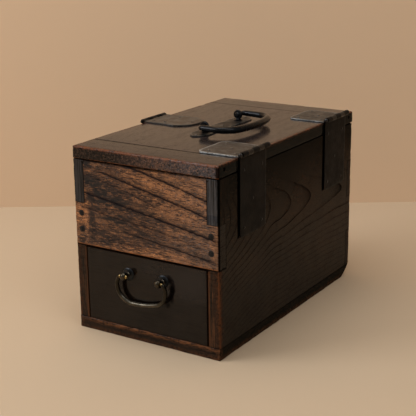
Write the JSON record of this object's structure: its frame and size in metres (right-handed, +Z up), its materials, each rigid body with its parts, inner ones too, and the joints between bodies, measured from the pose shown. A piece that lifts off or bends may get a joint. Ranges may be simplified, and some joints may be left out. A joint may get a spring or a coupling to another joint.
{
  "type": "japanese writing box",
  "caption": "Wooden box with a drawer in one end, a hinged lid with a bail handle, strap hinges, a hasp and a sliding tray inside.",
  "frame": {"origin": "centre of the base's underside", "axes": "+X to the right seen from the drawer end, towards the hinges; +Y from the drawer end to the rear; +Z up"},
  "size_m": [0.2238, 0.3614, 0.2472],
  "materials": {
    "dark_board": "dark stained board, satin",
    "warm_panel": "orange brown panel with dark grain, satin",
    "lid_wood": "worn grey brown lid, satin",
    "drawer_wood": "near black drawer front, satin",
    "inner_wood": "plain unstained inner wood, dull",
    "peg_wood": "dark end grain pegs",
    "forged_iron": "blackened forged iron",
    "dark_brass": "darkened brass",
    "bronze_bail": "worn bronze with bright tips"
  },
  "bodies": {
    "carcase": {"bottom_board": "dark_board", "left_side_board": "dark_board", "right_side_board": "dark_board", "front_panel": "warm_panel", "back_panel": "dark_board", "drawer_shelf": "inner_wood", "left_tray_ledge": "inner_wood", "right_tray_ledge": "inner_wood", "front_joint_pegs": "peg_wood", "rear_joint_pegs": "peg_wood", "hasp_staple": "forged_iron", "front_hinge_side_leaf": "forged_iron", "front_hinge_pin": "forged_iron", "rear_hinge_side_leaf": "forged_iron", "rear_hinge_pin": "forged_iron"},
    "lid": {"lid_panel": "lid_wood", "lid_front_cleat": "lid_wood", "lid_rear_cleat": "lid_wood", "lid_cleat_plugs": "lid_wood", "front_hinge_lid_leaf": "forged_iron", "rear_hinge_lid_leaf": "forged_iron", "hasp_lid_leaf": "forged_iron", "hasp_pin": "forged_iron", "lid_handle_plate": "forged_iron", "lid_handle_front_post": "forged_iron", "lid_handle_rear_post": "forged_iron"},
    "lid_bail": {"lid_handle_bail": "forged_iron"},
    "hasp": {"hasp_strap": "forged_iron"},
    "drawer": {"drawer_front": "drawer_wood", "drawer_left_side": "inner_wood", "drawer_right_side": "inner_wood", "drawer_back": "inner_wood", "drawer_bottom": "inner_wood", "drawer_joint_pegs": "peg_wood", "drawer_handle_left_rose": "dark_brass", "drawer_handle_right_rose": "dark_brass", "drawer_handle_left_post": "dark_brass", "drawer_handle_right_post": "dark_brass"},
    "drawer_bail": {"drawer_handle_bail": "bronze_bail"},
    "tray": {"tray_front": "inner_wood", "tray_back": "inner_wood", "tray_left_side": "inner_wood", "tray_right_side": "inner_wood", "tray_bottom": "inner_wood", "tray_long_divider": "inner_wood", "tray_cross_divider": "inner_wood"}
  },
  "joints": [
    {"name": "lid_hinge", "type": "hinge", "parent": "carcase", "child": "lid", "pos_m": [0.1059, 0, 0.2354], "axis": [0, 1, 0], "range_deg": [0, 235]},
    {"name": "lid_bail_hinge", "type": "hinge", "parent": "lid", "child": "lid_bail", "pos_m": [0, 0, 0.241], "axis": [0, -1, 0], "range_deg": [-4, 183]},
    {"name": "hasp_hinge", "type": "hinge", "parent": "lid", "child": "hasp", "pos_m": [-0.1059, 0, 0.2328], "axis": [0, 1, 0], "range_deg": [0, 240]},
    {"name": "drawer_slide", "type": "slide", "parent": "carcase", "child": "drawer", "axis": [0, -1, 0], "range_m": [0, 0.285]},
    {"name": "drawer_bail_hinge", "type": "hinge", "parent": "drawer", "child": "drawer_bail", "pos_m": [0, -0.1829, 0.0835], "axis": [-1, 0, 0], "range_deg": [-3, 190]},
    {"name": "tray_slide", "type": "slide", "parent": "carcase", "child": "tray", "axis": [0, 1, 0], "range_m": [0, 0.126]}
  ]
}
